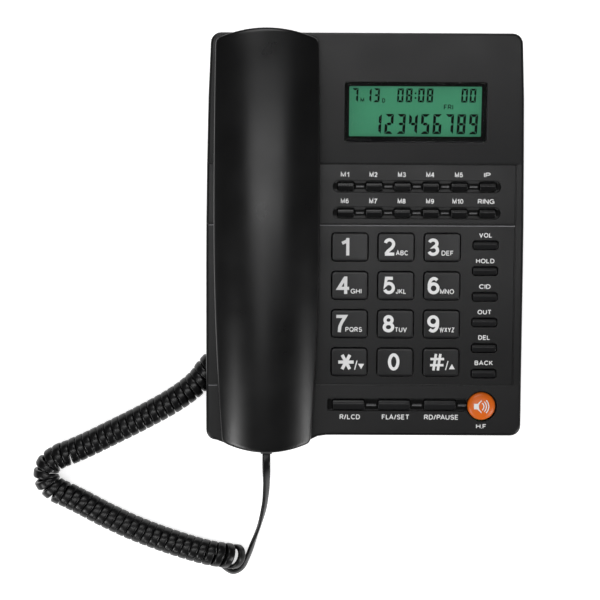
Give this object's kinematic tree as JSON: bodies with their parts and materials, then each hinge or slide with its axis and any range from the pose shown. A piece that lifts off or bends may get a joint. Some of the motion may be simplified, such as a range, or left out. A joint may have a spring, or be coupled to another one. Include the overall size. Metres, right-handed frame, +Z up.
{
  "type": "corded telephone",
  "caption": "Corded desk telephone with a handset on a curly cord, dial keys, memory and function buttons, a display window and a round hands-free button.",
  "frame": {"origin": "centre of the base's footprint on the table, at the bottom of the feet", "axes": "+X to the right of the keypad, away from the handset; +Y to the rear, where the base is highest; +Z up"},
  "size_m": [0.2635, 0.2917, 0.0661],
  "materials": {
    "base_plastic": "fine satin texture",
    "handset_plastic": "fine satin texture",
    "key_plastic": "satin",
    "orange_plastic": "gloss",
    "clear_plastic": "clear gloss",
    "display_green": "satin",
    "soft_rubber": "matte",
    "socket_plastic": "satin",
    "plug_plastic": "clear gloss",
    "circuit_board": "satin",
    "speaker_metal": "pressed steel",
    "cord_jacket": "soft vinyl, semi-gloss"
  },
  "bodies": {
    "base": {"top_housing": "base_plastic", "bottom_cover": "base_plastic", "display_window": "clear_plastic", "display_panel": "display_green", "keypad_mat": "soft_rubber", "main_circuit_board": "circuit_board", "loudspeaker": "speaker_metal", "line_jack": "socket_plastic", "base_handset_jack": "socket_plastic", "hook_switch": "socket_plastic", "foot_1": "soft_rubber", "foot_2": "soft_rubber", "foot_3": "soft_rubber", "foot_4": "soft_rubber", "base_plug": "plug_plastic", "base_tail": "cord_jacket", "curly_cord": "cord_jacket", "handset_tail": "cord_jacket"},
    "handset": {"handset_outer_shell": "handset_plastic", "handset_inner_shell": "handset_plastic", "receiver_capsule": "speaker_metal", "microphone": "speaker_metal", "handset_jack": "socket_plastic", "handset_plug": "plug_plastic"},
    "hook": {"hook_plunger": "base_plastic"},
    "key_1": {"key_1": "key_plastic"},
    "key_2": {"key_2": "key_plastic"},
    "key_3": {"key_3": "key_plastic"},
    "key_4": {"key_4": "key_plastic"},
    "key_5": {"key_5": "key_plastic"},
    "key_6": {"key_6": "key_plastic"},
    "key_7": {"key_7": "key_plastic"},
    "key_8": {"key_8": "key_plastic"},
    "key_9": {"key_9": "key_plastic"},
    "key_star": {"key_star": "key_plastic"},
    "key_0": {"key_0": "key_plastic"},
    "key_hash": {"key_hash": "key_plastic"},
    "memory_1": {"memory_button_1": "key_plastic"},
    "memory_2": {"memory_button_2": "key_plastic"},
    "memory_3": {"memory_button_3": "key_plastic"},
    "memory_4": {"memory_button_4": "key_plastic"},
    "memory_5": {"memory_button_5": "key_plastic"},
    "memory_6": {"memory_button_6": "key_plastic"},
    "memory_7": {"memory_button_7": "key_plastic"},
    "memory_8": {"memory_button_8": "key_plastic"},
    "memory_9": {"memory_button_9": "key_plastic"},
    "memory_10": {"memory_button_10": "key_plastic"},
    "memory_11": {"memory_button_11": "key_plastic"},
    "memory_12": {"memory_button_12": "key_plastic"},
    "side_1": {"side_button_1": "key_plastic"},
    "side_2": {"side_button_2": "key_plastic"},
    "side_3": {"side_button_3": "key_plastic"},
    "side_4": {"side_button_4": "key_plastic"},
    "side_5": {"side_button_5": "key_plastic"},
    "side_6": {"side_button_6": "key_plastic"},
    "function_1": {"function_button_1": "key_plastic"},
    "function_2": {"function_button_2": "key_plastic"},
    "function_3": {"function_button_3": "key_plastic"},
    "handsfree": {"handsfree_button": "orange_plastic"}
  },
  "joints": [
    {"name": "handset_lift", "type": "slide", "parent": "base", "child": "handset", "axis": [0, -0.127, 0.9919], "range_m": [0, 0.08]},
    {"name": "hook_travel", "type": "slide", "parent": "base", "child": "hook", "axis": [0, -0.127, 0.9919], "range_m": [0, 0.004]},
    {"name": "press_1", "type": "slide", "parent": "base", "child": "key_1", "axis": [0, 0.0958, -0.9954], "range_m": [0, 0.0015], "stiffness_N_per_m": 400, "springref_m": -0.0005},
    {"name": "press_2", "type": "slide", "parent": "base", "child": "key_2", "axis": [0, 0.0958, -0.9954], "range_m": [0, 0.0015], "stiffness_N_per_m": 400, "springref_m": -0.0005},
    {"name": "press_3", "type": "slide", "parent": "base", "child": "key_3", "axis": [0, 0.0958, -0.9954], "range_m": [0, 0.0015], "stiffness_N_per_m": 400, "springref_m": -0.0005},
    {"name": "press_4", "type": "slide", "parent": "base", "child": "key_4", "axis": [0, 0.0958, -0.9954], "range_m": [0, 0.0015], "stiffness_N_per_m": 400, "springref_m": -0.0005},
    {"name": "press_5", "type": "slide", "parent": "base", "child": "key_5", "axis": [0, 0.0958, -0.9954], "range_m": [0, 0.0015], "stiffness_N_per_m": 400, "springref_m": -0.0005},
    {"name": "press_6", "type": "slide", "parent": "base", "child": "key_6", "axis": [0, 0.0958, -0.9954], "range_m": [0, 0.0015], "stiffness_N_per_m": 400, "springref_m": -0.0005},
    {"name": "press_7", "type": "slide", "parent": "base", "child": "key_7", "axis": [0, 0.0958, -0.9954], "range_m": [0, 0.0015], "stiffness_N_per_m": 400, "springref_m": -0.0005},
    {"name": "press_8", "type": "slide", "parent": "base", "child": "key_8", "axis": [0, 0.0958, -0.9954], "range_m": [0, 0.0015], "stiffness_N_per_m": 400, "springref_m": -0.0005},
    {"name": "press_9", "type": "slide", "parent": "base", "child": "key_9", "axis": [0, 0.0958, -0.9954], "range_m": [0, 0.0015], "stiffness_N_per_m": 400, "springref_m": -0.0005},
    {"name": "press_star", "type": "slide", "parent": "base", "child": "key_star", "axis": [0, 0.0958, -0.9954], "range_m": [0, 0.0015], "stiffness_N_per_m": 400, "springref_m": -0.0005},
    {"name": "press_0", "type": "slide", "parent": "base", "child": "key_0", "axis": [0, 0.0958, -0.9954], "range_m": [0, 0.0015], "stiffness_N_per_m": 400, "springref_m": -0.0005},
    {"name": "press_hash", "type": "slide", "parent": "base", "child": "key_hash", "axis": [0, 0.0958, -0.9954], "range_m": [0, 0.0015], "stiffness_N_per_m": 400, "springref_m": -0.0005},
    {"name": "press_memory_1", "type": "slide", "parent": "base", "child": "memory_1", "axis": [0, 0.1219, -0.9925], "range_m": [0, 0.001], "stiffness_N_per_m": 400, "springref_m": -0.0005},
    {"name": "press_memory_2", "type": "slide", "parent": "base", "child": "memory_2", "axis": [0, 0.1219, -0.9925], "range_m": [0, 0.001], "stiffness_N_per_m": 400, "springref_m": -0.0005},
    {"name": "press_memory_3", "type": "slide", "parent": "base", "child": "memory_3", "axis": [0, 0.1219, -0.9925], "range_m": [0, 0.001], "stiffness_N_per_m": 400, "springref_m": -0.0005},
    {"name": "press_memory_4", "type": "slide", "parent": "base", "child": "memory_4", "axis": [0, 0.1219, -0.9925], "range_m": [0, 0.001], "stiffness_N_per_m": 400, "springref_m": -0.0005},
    {"name": "press_memory_5", "type": "slide", "parent": "base", "child": "memory_5", "axis": [0, 0.1219, -0.9925], "range_m": [0, 0.001], "stiffness_N_per_m": 400, "springref_m": -0.0005},
    {"name": "press_memory_6", "type": "slide", "parent": "base", "child": "memory_6", "axis": [0, 0.1219, -0.9925], "range_m": [0, 0.001], "stiffness_N_per_m": 400, "springref_m": -0.0005},
    {"name": "press_memory_7", "type": "slide", "parent": "base", "child": "memory_7", "axis": [0, 0.1219, -0.9925], "range_m": [0, 0.001], "stiffness_N_per_m": 400, "springref_m": -0.0005},
    {"name": "press_memory_8", "type": "slide", "parent": "base", "child": "memory_8", "axis": [0, 0.1219, -0.9925], "range_m": [0, 0.001], "stiffness_N_per_m": 400, "springref_m": -0.0005},
    {"name": "press_memory_9", "type": "slide", "parent": "base", "child": "memory_9", "axis": [0, 0.1219, -0.9925], "range_m": [0, 0.001], "stiffness_N_per_m": 400, "springref_m": -0.0005},
    {"name": "press_memory_10", "type": "slide", "parent": "base", "child": "memory_10", "axis": [0, 0.1219, -0.9925], "range_m": [0, 0.001], "stiffness_N_per_m": 400, "springref_m": -0.0005},
    {"name": "press_memory_11", "type": "slide", "parent": "base", "child": "memory_11", "axis": [0, 0.1219, -0.9925], "range_m": [0, 0.001], "stiffness_N_per_m": 400, "springref_m": -0.0005},
    {"name": "press_memory_12", "type": "slide", "parent": "base", "child": "memory_12", "axis": [0, 0.1219, -0.9925], "range_m": [0, 0.001], "stiffness_N_per_m": 400, "springref_m": -0.0005},
    {"name": "press_side_1", "type": "slide", "parent": "base", "child": "side_1", "axis": [0, 0.0958, -0.9954], "range_m": [0, 0.001], "stiffness_N_per_m": 400, "springref_m": -0.0005},
    {"name": "press_side_2", "type": "slide", "parent": "base", "child": "side_2", "axis": [0, 0.0958, -0.9954], "range_m": [0, 0.001], "stiffness_N_per_m": 400, "springref_m": -0.0005},
    {"name": "press_side_3", "type": "slide", "parent": "base", "child": "side_3", "axis": [0, 0.0958, -0.9954], "range_m": [0, 0.001], "stiffness_N_per_m": 400, "springref_m": -0.0005},
    {"name": "press_side_4", "type": "slide", "parent": "base", "child": "side_4", "axis": [0, 0.0958, -0.9954], "range_m": [0, 0.001], "stiffness_N_per_m": 400, "springref_m": -0.0005},
    {"name": "press_side_5", "type": "slide", "parent": "base", "child": "side_5", "axis": [0, 0.0958, -0.9954], "range_m": [0, 0.001], "stiffness_N_per_m": 400, "springref_m": -0.0005},
    {"name": "press_side_6", "type": "slide", "parent": "base", "child": "side_6", "axis": [0, 0.0958, -0.9954], "range_m": [0, 0.001], "stiffness_N_per_m": 400, "springref_m": -0.0005},
    {"name": "press_function_1", "type": "slide", "parent": "base", "child": "function_1", "axis": [0, 0.0698, -0.9976], "range_m": [0, 0.001], "stiffness_N_per_m": 400, "springref_m": -0.0005},
    {"name": "press_function_2", "type": "slide", "parent": "base", "child": "function_2", "axis": [0, 0.0698, -0.9976], "range_m": [0, 0.001], "stiffness_N_per_m": 400, "springref_m": -0.0005},
    {"name": "press_function_3", "type": "slide", "parent": "base", "child": "function_3", "axis": [0, 0.0698, -0.9976], "range_m": [0, 0.001], "stiffness_N_per_m": 400, "springref_m": -0.0005},
    {"name": "press_handsfree", "type": "slide", "parent": "base", "child": "handsfree", "axis": [0, 0.0698, -0.9976], "range_m": [0, 0.0015], "stiffness_N_per_m": 400, "springref_m": -0.0005}
  ],
  "couplings": [
    {"joint": "hook_travel", "follows": "handset_lift", "ratio": 0.05}
  ]
}
